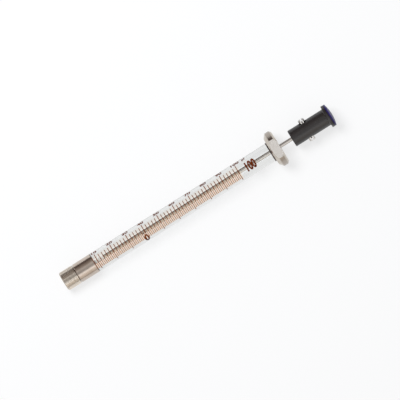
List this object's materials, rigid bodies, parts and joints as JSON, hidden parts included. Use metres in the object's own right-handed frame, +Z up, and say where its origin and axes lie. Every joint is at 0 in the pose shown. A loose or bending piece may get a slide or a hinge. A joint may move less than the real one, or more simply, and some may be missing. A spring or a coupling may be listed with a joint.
{
  "type": "microsyringe",
  "caption": "Gas-tight glass microsyringe: graduated barrel, knurled needle nut, round finger flange with two flats and a steel plunger with a clamped push button.",
  "frame": {"origin": "on the floor under the middle of the box of the lying syringe, plunger pushed home", "axes": "+X from the nut to the push button, +Z up; the syringe lies on one flat of its flange and on the nut, so its axis rises 1.4 degrees towards the button"},
  "size_m": [0.103, 0.0124, 0.0106],
  "materials": {
    "borosilicate_glass": "clear and polished",
    "scale_ink": "fired orange-brown ink, satin",
    "turned_nickel": "nickel plate over a fine turned surface",
    "knurled_nickel": "nickel plate over a diamond knurl",
    "flange_nickel": "polished nickel plate",
    "ferrule_metal": "turned",
    "white_ptfe": "waxy white PTFE",
    "ground_steel": "centreless ground stainless wire",
    "screw_steel": "bright turned steel",
    "black_plastic": "moulded, slight sheen",
    "blue_plastic": "moulded, satin gloss, deep blue-violet"
  },
  "bodies": {
    "barrel": {"glass_barrel": "borosilicate_glass", "graduation_scale": "scale_ink", "needle_hub": "turned_nickel", "needle_seat": "white_ptfe", "finger_flange": "flange_nickel"},
    "seal": {"needle_ferrule": "ferrule_metal"},
    "nut": {"knurled_nut": "knurled_nickel"},
    "piston": {"plunger_tip": "white_ptfe"},
    "plunger": {"plunger_rod": "ground_steel", "plunger_button": "black_plastic", "button_cap": "blue_plastic", "set_screw_raised": "screw_steel", "set_screw_lowered": "screw_steel"}
  },
  "joints": [
    {"name": "nut_travel", "type": "slide", "parent": "barrel", "child": "seal", "axis": [-0.9997, 0, -0.0246], "range_m": [0, 0.0025]},
    {"name": "nut_turn", "type": "hinge", "parent": "seal", "child": "nut", "pos_m": [-0.04891, 0, 0.00334], "axis": [-0.9997, 0, -0.0246], "range_deg": [0, 1800.1]},
    {"name": "plunger_slide", "type": "slide", "parent": "barrel", "child": "piston", "axis": [0.9997, 0, 0.0246], "range_m": [0, 0.06]},
    {"name": "plunger_turn", "type": "hinge", "parent": "piston", "child": "plunger", "pos_m": [0.00357, 0, 0.00463], "axis": [0.9997, 0, 0.0246], "continuous": true}
  ],
  "couplings": [
    {"joint": "nut_turn", "follows": "nut_travel", "rad_per_m": 12566}
  ]
}
